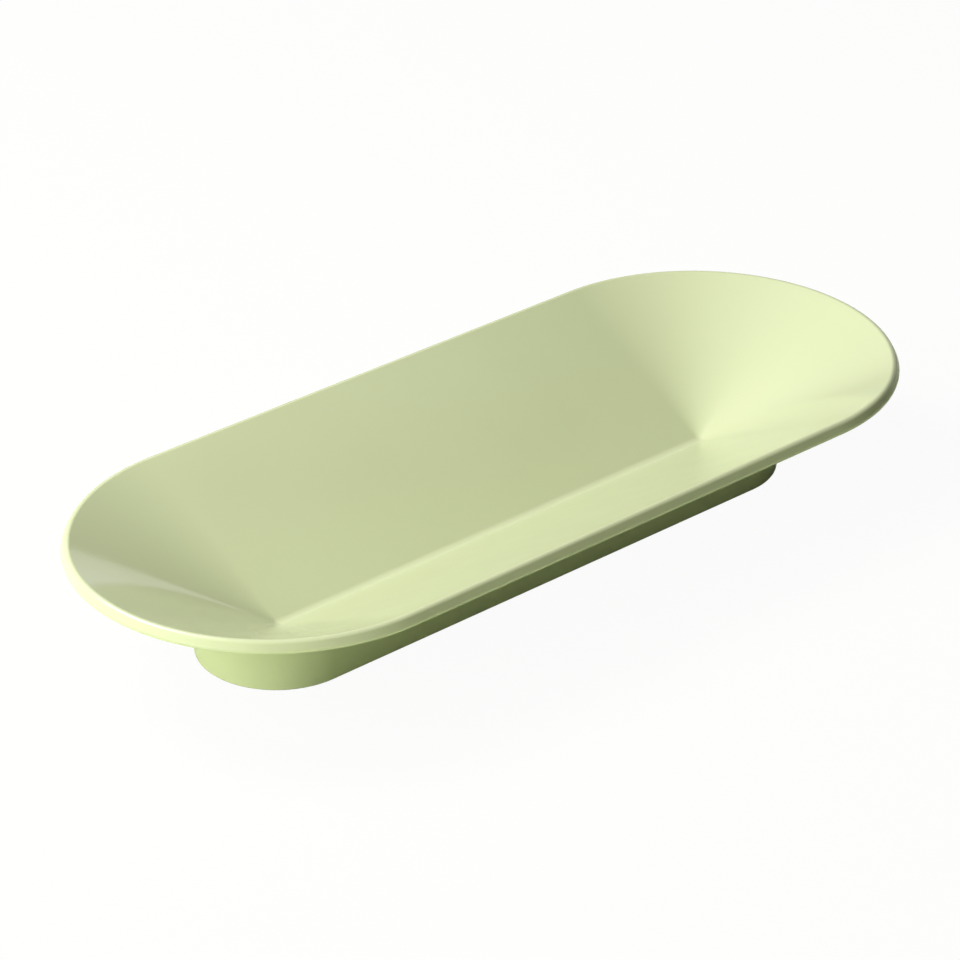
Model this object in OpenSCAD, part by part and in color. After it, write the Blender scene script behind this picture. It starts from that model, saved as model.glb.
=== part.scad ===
// Long serving dish for olives: a V-shaped trough with half-cone ends, one even wall with a
// squared-off rim edge, bonded to an upright foot ring that stands on four non-slip pads.
// Millimetres. X runs along the dish, Y across it, Z up. The origin is on the table, under the middle.

/* [Dish] */
// Overall length, end to end across the rim
dish_length = 300; // [220:1:380]
// Overall width, side to side across the rim
dish_width = 126.5; // [100:0.5:170]
// Height of the rim above the table
dish_height = 39.5; // [32:0.5:60]
// Height of the trough's lowest line above the table
valley_floor = 8.6; // [7.5:0.1:14]
// Thickness of the dish wall, square to its slope
wall = 4.2; // [3:0.1:5]
// Inside radius of the bend along the bottom of the trough
valley_fillet = 4; // [2:0.5:10]
// Rounding of the rim's upper edge
rim_top_round = 1.5; // [0.4:0.1:1.7]
// Rounding of the rim's lower lip
rim_lip_round = 1.2; // [0.4:0.1:1.2]

/* [Foot] */
// Width of the foot across its bottom edge
foot_width = 51; // [42:0.5:70]
// Draft of the foot's upright wall, in degrees
foot_draft = 2; // [0:0.5:5]
// Thickness of the foot's upright wall
foot_wall = 3.2; // [2.6:0.1:4]
// Rounding of the foot's bottom edge
foot_edge_round = 0.6; // [0.2:0.1:1]
// Reach of the foot's bottom flange, inward from the bottom edge
flange_width = 12; // [10:0.5:14]
// Thickness of the flange
flange_thick = 2.6; // [2.2:0.1:4]
// Inside fillet between the flange and the upright wall
flange_fillet = 1.5; // [0.5:0.1:3]

/* [Joint between dish and foot] */
// Thickness of the tongue on top of the foot
tongue_wall = 1.2; // [0.8:0.1:1.6]
// Reach of the tongue into the dish wall
tongue_height = 1.4; // [0.8:0.1:1.8]
// Gap on each side of the tongue in its groove
tongue_clear = 0.15; // [0.1:0.05:0.3]
// Thickness of the glue film between foot and dish
bond_gap = 0.15; // [0.05:0.05:0.3]

/* [Pads] */
// Diameter of a non-slip pad
pad_diameter = 8; // [6:0.5:9]
// How far a pad stands out below the foot
pad_proud = 0.6; // [0.3:0.1:1.5]
// Depth of the round recess that holds a pad
pad_seat = 1.2; // [0.8:0.1:1.6]
// Gap all round a pad in its recess
pad_clear = 0.15; // [0.05:0.05:0.3]
// Chamfer round a pad's lower edge
pad_chamfer = 0.3; // [0.1:0.05:0.5]

/* [Hidden] */

$fn = 96;
dish_green = [0.80, 0.84, 0.62];
foot_green = [0.74, 0.79, 0.55];
pad_grey = [0.80, 0.81, 0.76];

// How far cuts run past the faces they go through
overrun = 1;

// Half the straight run between the centres of the two round ends
half_straight = (dish_length - dish_width) / 2;

// The bend at the bottom of the trough: its centre height and its radius on the underside
bend_z = valley_floor + valley_fillet;
under_r = valley_fillet + wall;

// The wall's slope follows from the rim's height and width. The rim's sharp corners lie just outside its
// rounded edges, and their places depend on the slope, so it is settled in a few passes.
slope_passes = 12;
function corner_gain(r, slope) = r * (sin(slope) + cos(slope) - 1);
function corner_z(slope) = dish_height + corner_gain(rim_top_round, slope);
function corner_r(slope) = dish_width / 2 + corner_gain(rim_lip_round, slope) - wall * sin(slope);
function next_slope(slope) = atan((corner_z(slope) - bend_z + valley_fillet / cos(slope)) / corner_r(slope));
function settled(slope, passes) = passes == 0 ? slope : settled(next_slope(slope), passes - 1);
slope = settled(0, slope_passes);

function direction(angle) = [cos(angle), sin(angle)];

// The rim's edge face is square to the wall, between these two sharp corners
rim_corner = [corner_r(slope), corner_z(slope)];
lip_corner = rim_corner + wall * direction(slope - 90);

// Height, at a distance r from the middle line, of a wall face that bends with the given radius
function face_z(bend_r, r) = bend_z - bend_r / cos(slope) + r * tan(slope);
function under_z(r) = face_z(under_r, r);

// The foot: bottom height and radii at its bottom edge
foot_z = pad_proud;
foot_r = foot_width / 2;
foot_inner_r = foot_r - foot_wall;
flange_r = foot_r - flange_width;
flange_z = foot_z + flange_thick;

// A point on an upright face of the foot that starts at r, at a height above the foot's bottom
function drafted(r, rise) = [r + rise * tan(foot_draft), foot_z + rise];
// Where that face meets the glue film under the dish
function rise_to_dish(r) = (under_z(r) - bond_gap - foot_z) / (1 - tan(slope) * tan(foot_draft));
function foot_top(r) = drafted(r, rise_to_dish(r));

// The tongue stands in the middle of the foot's sloping top face
tongue_r = (foot_top(foot_r)[0] + foot_top(foot_inner_r)[0]) / 2;

// The pads sit in the middle of the flange, where the straight sides meet the round ends
pad_y = foot_r - flange_width / 2;
pad_height = pad_proud + pad_seat;

// Carries a half section, drawn outward from the dish's middle line, round the whole outline
module swept_round() {
    for (side = [1, -1])
        translate([side * half_straight, 0, 0])
            rotate([0, 0, -90 * side])
                rotate_extrude(angle = 180)
                    children();
    rotate([90, 0, 90])
        linear_extrude(height = 2 * half_straight, center = true) {
            children();
            mirror([1, 0])
                children();
        }
}

// What lies between a section's sharp corner and a circle of radius r that touches both of its sides.
// The sides leave the corner at the angles from and to, and the shape runs past them.
module corner_sliver(corner, from, to, r) {
    half = (to - from) / 2;
    middle = from + half;
    reach = r + overrun;
    translate(corner + r / sin(half) * direction(middle))
        difference() {
            polygon([
                [0, 0],
                reach * direction(from - 90),
                -reach / sin(half) * direction(middle),
                reach * direction(to + 90)
            ]);
            circle(r = r);
        }
}

// The same for half of the V that a wall face makes at the bottom of the trough
module bend_sliver(r) {
    reach = r + overrun;
    translate([0, bend_z])
        difference() {
            polygon([
                [0, 0],
                [0, -reach / cos(slope)],
                reach * direction(slope - 90)
            ]);
            circle(r = r);
        }
}

// Half the dish's wall: an even sloping wall with a round bend at its foot and rounded rim edges
module wall_section() {
    difference() {
        union() {
            polygon([
                [0, face_z(under_r, 0)],
                lip_corner,
                rim_corner,
                [0, face_z(valley_fillet, 0)]
            ]);
            bend_sliver(valley_fillet);
        }
        bend_sliver(under_r);
        corner_sliver(rim_corner, slope + 180, slope + 270, rim_top_round);
        corner_sliver(lip_corner, slope + 90, slope + 180, rim_lip_round);
    }
}

// An upright strip, wide from centre r to both sides, from a depth below the dish's underside to a height
// above it, with its ends parallel to the underside
module joint_strip(r, width, below, above) {
    inner = r - width / 2;
    outer = r + width / 2;
    polygon([
        [inner, under_z(inner) - below],
        [outer, under_z(outer) - below],
        [outer, under_z(outer) + above],
        [inner, under_z(inner) + above]
    ]);
}

module dish_shell() {
    color(dish_green)
        swept_round()
            difference() {
                wall_section();
                joint_strip(tongue_r, tongue_wall + 2 * tongue_clear, overrun, tongue_height + bond_gap);
            }
}

// The foot's upright wall and its bottom flange, with the tongue on top
module foot_section() {
    inside_corner = drafted(foot_inner_r, flange_thick);
    difference() {
        union() {
            polygon([
                [flange_r, foot_z],
                [foot_r, foot_z],
                foot_top(foot_r),
                foot_top(foot_inner_r),
                inside_corner,
                [flange_r, flange_z]
            ]);
            joint_strip(tongue_r, tongue_wall, tongue_height, tongue_height);
            corner_sliver(inside_corner, 90 - foot_draft, 180, flange_fillet);
        }
        corner_sliver([foot_r, foot_z], 90 - foot_draft, 180, foot_edge_round);
    }
}

// x_side and y_side are 1 or -1 and say at which end and on which long side a pad stands
module at_pad(x_side, y_side) {
    translate([x_side * half_straight, y_side * pad_y, 0])
        children();
}

module foot_ring() {
    color(foot_green)
        difference() {
            swept_round()
                foot_section();
            for (x_side = [-1, 1], y_side = [-1, 1])
                at_pad(x_side, y_side)
                    translate([0, 0, foot_z - overrun])
                        cylinder(d = pad_diameter + 2 * pad_clear, h = pad_seat + overrun);
        }
}

module pad(x_side, y_side) {
    color(pad_grey)
        at_pad(x_side, y_side) {
            cylinder(d1 = pad_diameter - 2 * pad_chamfer, d2 = pad_diameter, h = pad_chamfer);
            translate([0, 0, pad_chamfer])
                cylinder(d = pad_diameter, h = pad_height - pad_chamfer);
        }
}

dish_shell();
foot_ring();
pad(-1, -1);  // pad_front_left
pad(1, -1);  // pad_front_right
pad(-1, 1);  // pad_back_left
pad(1, 1);  // pad_back_right
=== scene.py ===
"""Looks of the long olive dish: swept mouldings, rubber pads, finishes, studio and camera.

Metres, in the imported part's own frame: X along the dish, Y across it, Z up, table at z = 0.
"""
import math

import bpy
from mathutils import Color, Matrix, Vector
from mathutils.geometry import tessellate_polygon


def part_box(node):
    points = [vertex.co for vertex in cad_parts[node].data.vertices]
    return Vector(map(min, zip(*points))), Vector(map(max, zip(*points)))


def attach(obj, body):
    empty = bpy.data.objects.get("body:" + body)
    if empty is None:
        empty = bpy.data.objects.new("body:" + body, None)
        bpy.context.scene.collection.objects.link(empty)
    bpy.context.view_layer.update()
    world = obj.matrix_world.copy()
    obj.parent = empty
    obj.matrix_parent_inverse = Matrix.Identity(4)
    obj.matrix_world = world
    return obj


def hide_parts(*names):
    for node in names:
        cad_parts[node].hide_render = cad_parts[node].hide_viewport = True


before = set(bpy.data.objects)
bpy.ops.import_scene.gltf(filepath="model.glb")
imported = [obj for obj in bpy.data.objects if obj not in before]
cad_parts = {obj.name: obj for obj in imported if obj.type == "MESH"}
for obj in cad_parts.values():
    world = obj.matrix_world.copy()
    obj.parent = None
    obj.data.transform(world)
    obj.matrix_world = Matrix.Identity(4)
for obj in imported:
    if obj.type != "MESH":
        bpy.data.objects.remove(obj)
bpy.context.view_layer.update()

# Places and overall sizes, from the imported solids. The sizes that these boxes don't give follow below.
shell_low, shell_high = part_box("dish_shell")
foot_low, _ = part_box("foot_ring")
pad_low, pad_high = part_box("pad_back_right")
pad_middle = (pad_low + pad_high) / 2

# The dish wall
RIM_R = (shell_high.y - shell_low.y) / 2
RIM_Z = shell_high.z
KEEL_Z = shell_low.z
WALL = 0.0042
VALLEY_FILLET = 0.004
RIM_TOP_ROUND = 0.0015
RIM_LIP_ROUND = 0.0012
HALF_STRAIGHT = pad_middle.x
BEND_Z = KEEL_Z + WALL + VALLEY_FILLET
UNDER_R = VALLEY_FILLET + WALL

# The foot ring, measured at its bottom edge
FOOT_Z = foot_low.z
FOOT_DRAFT = math.radians(2)
FOOT_WALL = 0.0032
FOOT_EDGE_ROUND = 0.0006
FLANGE_WIDTH = 0.012
FLANGE_THICK = 0.0026
FLANGE_FILLET = 0.0015
FOOT_R = pad_middle.y + FLANGE_WIDTH / 2
FOOT_INNER_R = FOOT_R - FOOT_WALL
FLANGE_R = FOOT_R - FLANGE_WIDTH

# The glued tongue and groove between foot and dish
TONGUE_WALL = 0.0012
TONGUE_HEIGHT = 0.0014
TONGUE_CLEAR = 0.00015
BOND_GAP = 0.00015

# The pads and the round recesses that hold them
PAD_R = (pad_high.x - pad_low.x) / 2
PAD_TOP = pad_high.z
PAD_CHAMFER = 0.0003
PAD_CLEAR = 0.00015
PAD_CENTRES = {
    f"{depth}_{end}": Vector((x_side * pad_middle.x, y_side * pad_middle.y))
    for depth, y_side in (("front", -1), ("back", 1))
    for end, x_side in (("left", -1), ("right", 1))
}

# How finely the sections and the outline are divided
ARC_STEPS = 8
FACE_STEPS = 20
END_STEPS = 72
SIDE_STEPS = 48
PAD_STEPS = 64

# Corners that agree to within TOUCH share a vertex, and fewer than FEWEST_CORNERS make no face
TOUCH = 1e-7
FEWEST_CORNERS = 3

FULL_TURN = 2 * math.pi
QUARTER_TURN = FULL_TURN / 4
ORIGIN = Vector((0, 0, 0))
UP = Vector((0, 0, 1))

# The slope depends on the rim's corners and they on the slope, so it is settled in this many passes
SLOPE_PASSES = 30


def settle_slope():
    """The wall's slope and its sharp upper corner, for a rounded rim that has the rim's size."""
    slope = 0.0
    for _ in range(SLOPE_PASSES):
        gain = math.sin(slope) + math.cos(slope) - 1
        corner_z = RIM_Z + RIM_TOP_ROUND * gain
        corner_r = RIM_R + RIM_LIP_ROUND * gain - WALL * math.sin(slope)
        slope = math.atan((corner_z - BEND_Z + VALLEY_FILLET / math.cos(slope)) / corner_r)
    return slope, Vector((corner_r, corner_z))


SLOPE, RIM_CORNER = settle_slope()

# Headings in a section, which is drawn with its distance out to the right and its height upward
UP_WALL = SLOPE
OUT_OF_WALL = SLOPE + QUARTER_TURN
INTO_WALL = SLOPE - QUARTER_TURN
DOWN = -QUARTER_TURN


def heading(angle):
    return Vector((math.cos(angle), math.sin(angle)))


def under_z(r):
    """Height of the dish's underside at a distance r from its middle line."""
    return BEND_Z - UNDER_R / math.cos(SLOPE) + r * math.tan(SLOPE)


def drafted(r, rise):
    """A point on an upright face of the foot that starts at r, at a height above the foot's bottom."""
    return Vector((r + rise * math.tan(FOOT_DRAFT), FOOT_Z + rise))


def foot_top(r):
    """Where that face meets the glue film under the dish."""
    rise = (under_z(r) - BOND_GAP - FOOT_Z) / (1 - math.tan(SLOPE) * math.tan(FOOT_DRAFT))
    return drafted(r, rise)


# The tongue stands in the middle of the foot's sloping top face
TONGUE_R = (foot_top(FOOT_R).x + foot_top(FOOT_INNER_R).x) / 2


def arc(centre, radius, start, stop):
    """A run of (point, normal) along an arc. A clockwise one bulges outward, the other is a hollow."""
    side = 1 if stop < start else -1
    angles = [start + (stop - start) * i / ARC_STEPS for i in range(ARC_STEPS + 1)]
    return [(centre + radius * heading(a), side * heading(a)) for a in angles]


def line(start, stop, steps=1):
    """A run of (point, normal) along a straight face, with the outside on its left."""
    ahead = (stop - start).normalized()
    normal = Vector((-ahead.y, ahead.x))
    return [(start.lerp(stop, i / steps), normal) for i in range(steps + 1)]


def lines(points):
    """Straight runs from each point to the next."""
    return [line(a, b) for a, b in zip(points, points[1:])]


def first_point(run):
    point, _ = run[0]
    return point


def last_point(run):
    point, _ = run[-1]
    return point


def joint_strip(width, below, above):
    """The corners of the tongue or groove: outer bottom, outer top, inner top and inner bottom."""
    inner = TONGUE_R - width / 2
    outer = TONGUE_R + width / 2
    return [
        Vector((outer, under_z(outer) - below)),
        Vector((outer, under_z(outer) + above)),
        Vector((inner, under_z(inner) + above)),
        Vector((inner, under_z(inner) - below)),
    ]


def shell_section():
    """The dish wall's half section, from the valley line over the rim and back to the keel."""
    bend = Vector((0, BEND_Z))
    lip_corner = RIM_CORNER + WALL * heading(INTO_WALL)
    top_centre = RIM_CORNER - RIM_TOP_ROUND * (heading(UP_WALL) + heading(OUT_OF_WALL))
    lip_centre = lip_corner - RIM_LIP_ROUND * (heading(UP_WALL) + heading(INTO_WALL))
    valley = arc(bend, VALLEY_FILLET, DOWN, INTO_WALL)
    rim_top = arc(top_centre, RIM_TOP_ROUND, OUT_OF_WALL, UP_WALL)
    rim_lip = arc(lip_centre, RIM_LIP_ROUND, UP_WALL, INTO_WALL)
    keel = arc(bend, UNDER_R, INTO_WALL, DOWN)
    groove = joint_strip(TONGUE_WALL + 2 * TONGUE_CLEAR, 0, TONGUE_HEIGHT + BOND_GAP)
    return [
        valley,
        line(last_point(valley), first_point(rim_top), FACE_STEPS),
        rim_top,
        line(last_point(rim_top), first_point(rim_lip), ARC_STEPS),
        rim_lip,
        line(last_point(rim_lip), groove[0], FACE_STEPS),
        *lines(groove),
        line(groove[-1], first_point(keel), FACE_STEPS),
        keel,
    ]


def foot_section():
    """The foot's section: up the inside from the flange's edge, over the tongue, down the outside."""
    half_corner = (QUARTER_TURN + FOOT_DRAFT) / 2
    inside_corner = drafted(FOOT_INNER_R, FLANGE_THICK)
    fillet_centre = inside_corner + FLANGE_FILLET * Vector((-1 / math.tan(half_corner), 1))
    edge_centre = Vector((FOOT_R - FOOT_EDGE_ROUND / math.tan(half_corner), FOOT_Z + FOOT_EDGE_ROUND))
    fillet = arc(fillet_centre, FLANGE_FILLET, DOWN, -FOOT_DRAFT)
    edge = arc(edge_centre, FOOT_EDGE_ROUND, -FOOT_DRAFT, DOWN)
    flange_top = Vector((FLANGE_R, FOOT_Z + FLANGE_THICK))
    tongue = reversed(joint_strip(TONGUE_WALL, BOND_GAP, TONGUE_HEIGHT))
    return [
        line(Vector((FLANGE_R, FOOT_Z)), flange_top),
        line(flange_top, first_point(fillet), ARC_STEPS),
        fillet,
        line(last_point(fillet), foot_top(FOOT_INNER_R), FACE_STEPS),
        *lines([foot_top(FOOT_INNER_R), *tongue, foot_top(FOOT_R)]),
        line(foot_top(FOOT_R), first_point(edge), FACE_STEPS),
        edge,
    ]


def recess_section():
    """A pad recess's half section, from its mouth up the wall and in to the middle of its roof."""
    recess_r = PAD_R + PAD_CLEAR
    return lines([Vector((recess_r, FOOT_Z)), Vector((recess_r, PAD_TOP)), Vector((0, PAD_TOP))])


def pad_section():
    """A pad's half section, from the middle of its top over the side to the middle of its underside."""
    return lines([
        Vector((0, PAD_TOP)),
        Vector((PAD_R, PAD_TOP)),
        Vector((PAD_R, PAD_CHAMFER)),
        Vector((PAD_R - PAD_CHAMFER, 0)),
        Vector((0, 0)),
    ])


def turn(centre, first, last, steps):
    """Stations of a path round a centre: (centre, outward angle), without the last one."""
    return [(centre, first + (last - first) * i / steps) for i in range(steps)]


def outline_path():
    """Stations round the dish, counter-clockwise from above, from the front of the right end."""
    right = Vector((HALF_STRAIGHT, 0))
    left = Vector((-HALF_STRAIGHT, 0))
    shares = [i / SIDE_STEPS for i in range(SIDE_STEPS)]
    right_end = turn(right, -QUARTER_TURN, QUARTER_TURN, END_STEPS)
    back = [(right.lerp(left, share), QUARTER_TURN) for share in shares]
    left_end = turn(left, QUARTER_TURN, 3 * QUARTER_TURN, END_STEPS)
    front = [(left.lerp(right, share), -QUARTER_TURN) for share in shares]
    return right_end + back + left_end + front


def pad_path(centre):
    """Stations round a pad or its recess."""
    return turn(centre, 0, FULL_TURN, PAD_STEPS)


def placed(station, point):
    """A section's point, carried to a station of a path, as a place in space."""
    centre, angle = station
    return Vector((*(centre + point.x * heading(angle)), point.y))


def carried(station, corner):
    """A section's (point, normal), carried to a station of a path, as a (place, normal) in space."""
    _, angle = station
    point, normal = corner
    return placed(station, point), Vector((*(normal.x * heading(angle)), normal.y))


def loop(path, point):
    """The closed line that a section's point follows along a path."""
    return [placed(station, point) for station in path]


class Draft:
    """A mesh in the making: faces with exact corner normals, whose touching corners share a vertex."""

    def __init__(self):
        self.vertices = {}
        self.faces = []
        self.normals = []

    def add_face(self, corners):
        """Adds a face of (place, normal) corners. Touching ones count once, so a quad may close up."""
        face = {}
        for place, normal in corners:
            key = tuple(round(c / TOUCH) for c in place)
            index, _ = self.vertices.setdefault(key, (len(self.vertices), place))
            face.setdefault(index, normal)
        if len(face) >= FEWEST_CORNERS:
            self.faces.append(list(face))
            self.normals += face.values()

    def sweep(self, section, path):
        """Carries the runs of a section round a closed path."""
        for run in section:
            for first, second in zip(run, run[1:]):
                for here, there in zip(path, path[1:] + path[:1]):
                    self.add_face([
                        carried(here, first),
                        carried(here, second),
                        carried(there, second),
                        carried(there, first),
                    ])

    def fill(self, loops, normal):
        """Fills the flat area between an outer loop and the loops inside it."""
        places = [place for edge in loops for place in edge]
        for triangle in tessellate_polygon(loops):
            a, b, c = [places[i] for i in triangle]
            ordered = (a, b, c) if (b - a).cross(c - a).dot(normal) > 0 else (a, c, b)
            self.add_face([(place, normal) for place in ordered])

    def piece(self, name):
        """The finished mesh, as a new object in the scene."""
        mesh = bpy.data.meshes.new(name)
        mesh.from_pydata([place for _, place in self.vertices.values()], [], self.faces)
        mesh.shade_smooth()
        mesh.normals_split_custom_set(self.normals)
        made = bpy.data.objects.new(name, mesh)
        bpy.context.scene.collection.objects.link(made)
        return made


def dish_moulding():
    draft = Draft()
    draft.sweep(shell_section(), outline_path())
    return draft.piece("dish_moulding")


def foot_moulding():
    """The foot ring. Its flat underside is open where the pads sit in their recesses."""
    draft = Draft()
    path = outline_path()
    section = foot_section()
    recess = recess_section()
    draft.sweep(section, path)
    edges = [loop(path, last_point(section[-1])), loop(path, first_point(section[0]))]
    for centre in PAD_CENTRES.values():
        draft.sweep(recess, pad_path(centre))
        edges.append(loop(pad_path(centre), first_point(recess[0])))
    draft.fill(edges, -UP)
    return draft.piece("foot_moulding")


def rubber_disc(side):
    draft = Draft()
    draft.sweep(pad_section(), pad_path(PAD_CENTRES[side]))
    return draft.piece(f"rubber_disc_{side}")


def plug(value, socket):
    """Feeds a socket from another node's output, or with a fixed value."""
    if isinstance(value, bpy.types.NodeSocket):
        socket.id_data.links.new(value, socket)
    else:
        socket.default_value = value


def set_inputs(node, **inputs):
    """Feeds a node's inputs. The name from_min, for one, stands for the input From Min."""
    for name, value in inputs.items():
        plug(value, node.inputs[name.replace("_", " ").title()])


def add_node(tree, kind, **inputs):
    node = tree.nodes.new(kind)
    set_inputs(node, **inputs)
    return node


# Colours are sRGB values of 0 to this
SRGB_FULL = 255

# Noise stays mostly between these two values. Its scales count features to the metre.
NOISE_LOW = 0.2
NOISE_HIGH = 0.8

# The dish's plastic: soft clouds of two close greens, a slightly uneven gloss and a slight waviness
GREEN_DEEP = (206, 214, 168)
GREEN_PALE = (210, 218, 174)
GREEN_CLOUDS = {"scale": 14, "detail": 2}
GREEN_HAZE = {"scale": 60, "detail": 4}
GREEN_ROUGHNESS = (0.07, 0.13)
GREEN_WAVES = {"scale": 95, "detail": 1}
GREEN_WAVE_HEIGHT = 0.00003

# The pads' rubber: small clouds of two off-whites, a matt skin and fine pores
RUBBER_DEEP = (194, 196, 184)
RUBBER_PALE = (210, 212, 200)
RUBBER_CLOUDS = {"scale": 500, "detail": 3}
RUBBER_HAZE = {"scale": 900, "detail": 3}
RUBBER_ROUGHNESS = (0.55, 0.7)
RUBBER_PORES = {"scale": 3000, "detail": 2}
RUBBER_PORE_HEIGHT = 0.00003


def linear(srgb):
    """A shader colour from sRGB values."""
    color = Color([value / SRGB_FULL for value in srgb])
    return [*color.from_srgb_to_scene_linear(), 1]


class Finish:
    """A procedural material: one Principled shader, and textures in the object's own coordinates."""

    def __init__(self, name):
        self.material = bpy.data.materials.new(name)
        self.material.use_nodes = True
        self.tree = self.material.node_tree
        self.shader = self.tree.nodes["Principled BSDF"]
        self.place = add_node(self.tree, "ShaderNodeTexCoord").outputs["Object"]

    def noise(self, scale, detail):
        node = add_node(self.tree, "ShaderNodeTexNoise", vector=self.place, scale=scale, detail=detail)
        return node.outputs["Fac"]

    def ranged(self, noise, low, high):
        """Noise, spread over the range from low to high."""
        node = add_node(self.tree, "ShaderNodeMapRange", value=noise, to_min=low, to_max=high)
        set_inputs(node, from_min=NOISE_LOW, from_max=NOISE_HIGH)
        return node.outputs["Result"]

    def clouded(self, noise, first, second):
        """Two colours, mixed by noise."""
        node = add_node(self.tree, "ShaderNodeMixRGB", fac=self.ranged(noise, 0, 1))
        set_inputs(node, color1=linear(first), color2=linear(second))
        return node.outputs["Color"]

    def bump(self, noise, height):
        return add_node(self.tree, "ShaderNodeBump", height=noise, distance=height).outputs["Normal"]


def moulded_green():
    """Glossy moulded plastic in a pale green."""
    finish = Finish("moulded_green")
    set_inputs(
        finish.shader,
        base_color=finish.clouded(finish.noise(**GREEN_CLOUDS), GREEN_DEEP, GREEN_PALE),
        roughness=finish.ranged(finish.noise(**GREEN_HAZE), *GREEN_ROUGHNESS),
        normal=finish.bump(finish.noise(**GREEN_WAVES), GREEN_WAVE_HEIGHT),
    )
    return finish.material


def pad_rubber():
    """Matt off-white rubber."""
    finish = Finish("pad_rubber")
    set_inputs(
        finish.shader,
        base_color=finish.clouded(finish.noise(**RUBBER_CLOUDS), RUBBER_DEEP, RUBBER_PALE),
        roughness=finish.ranged(finish.noise(**RUBBER_HAZE), *RUBBER_ROUGHNESS),
        normal=finish.bump(finish.noise(**RUBBER_PORES), RUBBER_PORE_HEIGHT),
    )
    return finish.material


def dress(piece, material, node):
    """Gives a piece its finish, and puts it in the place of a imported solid."""
    piece.data.materials.append(material)
    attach(piece, "root")
    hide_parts(node)


# The camera, at the photograph's angle and distance: degrees, metres, and millimetres in the camera.
# The image is square.
VIEW_AZIMUTH = -41.42
VIEW_ELEVATION = 28.82
VIEW_DISTANCE = 1.2537
VIEW_LENS = 146.47
VIEW_SENSOR = 36
VIEW_TARGET = Vector((0.02573, 0.03733, FOOT_Z))

# A wide pale floor, nearly white to the camera and dim in gloss
FLOOR_R = 8.0
FLOOR_STEPS = 96
FLOOR_COLOR = (0.8, 0.87, 0.62, 1)
FLOOR_WHITE_TO_CAMERA = 0.95
FLOOR_WHITE_IN_GLOSS = 0.05

# A white backdrop that only gloss shows, low on the right. It is full below its top and fades above it,
# and to its sides it fades between two cosines of the angle from its middle.
BACKDROP_TOP = math.sin(math.radians(14))
BACKDROP_FADE = math.sin(math.radians(17))
BACKDROP_AZIMUTH = 110
BACKDROP_SIDE_FADE = 0.7
BACKDROP_FULL = 0.95

# A round white card that only gloss shows, high behind the dish. It fades between two such cosines.
CARD_AZIMUTH = 175
CARD_ELEVATION = 50
CARD_EDGE = math.cos(math.radians(52))
CARD_FULL = math.cos(math.radians(32))
CARD_WHITE = 0.6

# The rest of the room, as gloss shows it, and the faint light that it gives
WHITE = (1, 1, 1, 1)
ROOM_IN_GLOSS = 0.08
ROOM_LIGHT = 0.01

# Where a lamp's light is full and where it has faded out, in the lamp's own 0 to 1 coordinates
LAMP_MIDDLE = (0.5, 0.5, 0)
LAMP_CORE = 0.1
LAMP_EDGE = 0.5


def toward(azimuth, elevation):
    """The direction from the dish to a viewpoint. Azimuth 0 is the front, -Y, and 90 the right, +X."""
    turned = math.radians(azimuth)
    lift = math.radians(elevation)
    level = math.cos(lift)
    return Vector((math.sin(turned) * level, -math.cos(turned) * level, math.sin(lift)))


def math_node(tree, operation, first, second):
    """Two numbers or outputs, joined by an operation."""
    node = tree.nodes.new("ShaderNodeMath")
    node.operation = operation
    plug(first, node.inputs[0])
    plug(second, node.inputs[1])
    return node.outputs["Value"]


def vector_node(tree, operation, vector, fixed):
    """The number that an operation makes of a vector output and a fixed vector."""
    node = tree.nodes.new("ShaderNodeVectorMath")
    node.operation = operation
    plug(vector, node.inputs[0])
    plug(fixed, node.inputs[1])
    return node.outputs["Value"]


def ramp(tree, value, zero_at, one_at):
    """Rises from 0 to 1 between two values."""
    node = add_node(tree, "ShaderNodeMapRange", value=value, from_min=zero_at, from_max=one_at)
    return node.outputs["Result"]


def mirrored_rays(tree, rays):
    """1 for the rays that carry a mirrored or refracted view."""
    return math_node(tree, "MAXIMUM", rays["Is Glossy Ray"], rays["Is Transmission Ray"])


def floor_material():
    material = bpy.data.materials.new("studio_floor")
    material.use_nodes = True
    material.cycles.emission_sampling = "NONE"
    tree = material.node_tree
    tree.nodes.clear()
    diffuse = add_node(tree, "ShaderNodeBsdfDiffuse", color=FLOOR_COLOR)
    white = add_node(tree, "ShaderNodeEmission")
    rays = add_node(tree, "ShaderNodeLightPath").outputs
    seen = math_node(tree, "MULTIPLY", rays["Is Camera Ray"], FLOOR_WHITE_TO_CAMERA)
    mirrored = math_node(tree, "MULTIPLY", mirrored_rays(tree, rays), FLOOR_WHITE_IN_GLOSS)
    mix = add_node(tree, "ShaderNodeMixShader", fac=math_node(tree, "MAXIMUM", seen, mirrored))
    plug(diffuse.outputs["BSDF"], mix.inputs[1])
    plug(white.outputs["Emission"], mix.inputs[2])
    add_node(tree, "ShaderNodeOutputMaterial", surface=mix.outputs["Shader"])
    return material


def add_floor():
    edge = [FLOOR_R * heading(FULL_TURN * i / FLOOR_STEPS) for i in range(FLOOR_STEPS)]
    mesh = bpy.data.meshes.new("studio_floor")
    mesh.from_pydata([(*point, 0) for point in edge], [], [list(range(FLOOR_STEPS))])
    mesh.materials.append(floor_material())
    floor = bpy.data.objects.new("studio_floor", mesh)
    bpy.context.scene.collection.objects.link(floor)


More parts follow.
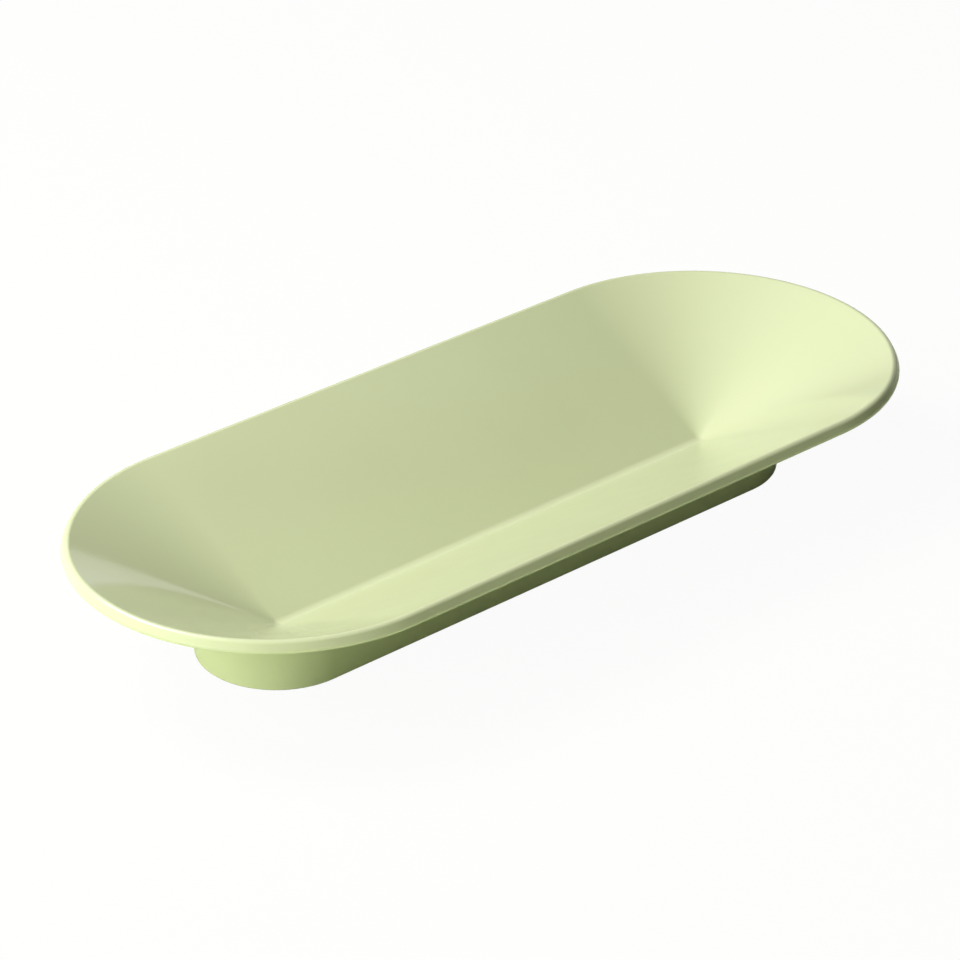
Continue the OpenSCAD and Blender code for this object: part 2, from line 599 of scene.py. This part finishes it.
def set_world():
    """White to the camera, backdrop and card in a dim room to gloss, and a faint light to the rest."""
    world = bpy.data.worlds.new("studio")
    world.use_nodes = True
    world.cycles.sampling_method = "NONE"
    tree = world.node_tree
    rays = add_node(tree, "ShaderNodeLightPath").outputs
    direction = add_node(tree, "ShaderNodeTexCoord").outputs["Generated"]
    height = vector_node(tree, "DOT_PRODUCT", direction, UP)
    to_backdrop = vector_node(tree, "DOT_PRODUCT", direction, toward(BACKDROP_AZIMUTH, 0))
    to_card = vector_node(tree, "DOT_PRODUCT", direction, toward(CARD_AZIMUTH, CARD_ELEVATION))
    below_top = ramp(tree, height, BACKDROP_FADE, BACKDROP_TOP)
    between_sides = ramp(tree, to_backdrop, BACKDROP_SIDE_FADE, BACKDROP_FULL)
    backdrop = math_node(tree, "MULTIPLY", below_top, between_sides)
    card = math_node(tree, "MULTIPLY", ramp(tree, to_card, CARD_EDGE, CARD_FULL), CARD_WHITE)
    whites = math_node(tree, "MAXIMUM", backdrop, card)
    room = math_node(tree, "MAXIMUM", whites, ROOM_IN_GLOSS)
    mirrored = math_node(tree, "MULTIPLY", room, mirrored_rays(tree, rays))
    seen = math_node(tree, "MAXIMUM", mirrored, rays["Is Camera Ray"])
    strength = math_node(tree, "MAXIMUM", seen, ROOM_LIGHT)
    set_inputs(tree.nodes["Background"], color=WHITE, strength=strength)
    bpy.context.scene.world = world


def aim(name, data, away, distance, target):
    """Places a lamp or camera that looks at the target from a distance."""
    made = bpy.data.objects.new(name, data)
    made.location = target + away * distance
    made.rotation_euler = away.to_track_quat("Z", "Y").to_euler()
    bpy.context.scene.collection.objects.link(made)
    return made


def add_softbox(name, azimuth, elevation, distance, width, height, watts, mirrored=True):
    """An oval soft lamp, brightest in its middle. Gloss shows it if it is mirrored."""
    data = bpy.data.lights.new(name, "AREA")
    data.shape = "ELLIPSE"
    data.size = width
    data.size_y = height
    data.energy = watts
    data.use_nodes = True
    tree = data.node_tree
    place = add_node(tree, "ShaderNodeNewGeometry").outputs["Parametric"]
    from_middle = vector_node(tree, "DISTANCE", place, LAMP_MIDDLE)
    set_inputs(tree.nodes["Emission"], strength=ramp(tree, from_middle, LAMP_EDGE, LAMP_CORE))
    lamp = aim(name, data, toward(azimuth, elevation), distance, ORIGIN)
    lamp.visible_camera = False
    lamp.visible_glossy = mirrored


def add_softboxes():
    """A wide lamp on the left, a low strip below it, and a lamp above the back left."""
    add_softbox(
        "left_softbox",
        azimuth=-93,
        elevation=33,
        distance=1.5,
        width=1.7,
        height=1.3,
        watts=42,
        mirrored=False,
    )
    add_softbox(
        "low_softbox",
        azimuth=-75,
        elevation=4,
        distance=1.5,
        width=1.7,
        height=0.24,
        watts=9.5,
    )
    add_softbox(
        "overhead_softbox",
        azimuth=-146,
        elevation=55,
        distance=1,
        width=0.8,
        height=0.8,
        watts=22.5,
    )


def add_camera():
    data = bpy.data.cameras.new("camera")
    data.lens = VIEW_LENS
    data.sensor_width = VIEW_SENSOR
    away = toward(VIEW_AZIMUTH, VIEW_ELEVATION)
    bpy.context.scene.camera = aim("camera", data, away, VIEW_DISTANCE, VIEW_TARGET)


green = moulded_green()
rubber = pad_rubber()
dress(dish_moulding(), green, "dish_shell")
dress(foot_moulding(), green, "foot_ring")
for side in PAD_CENTRES:
    dress(rubber_disc(side), rubber, f"pad_{side}")

add_floor()
set_world()
add_softboxes()
add_camera()
bpy.context.scene.view_settings.view_transform = "Standard"
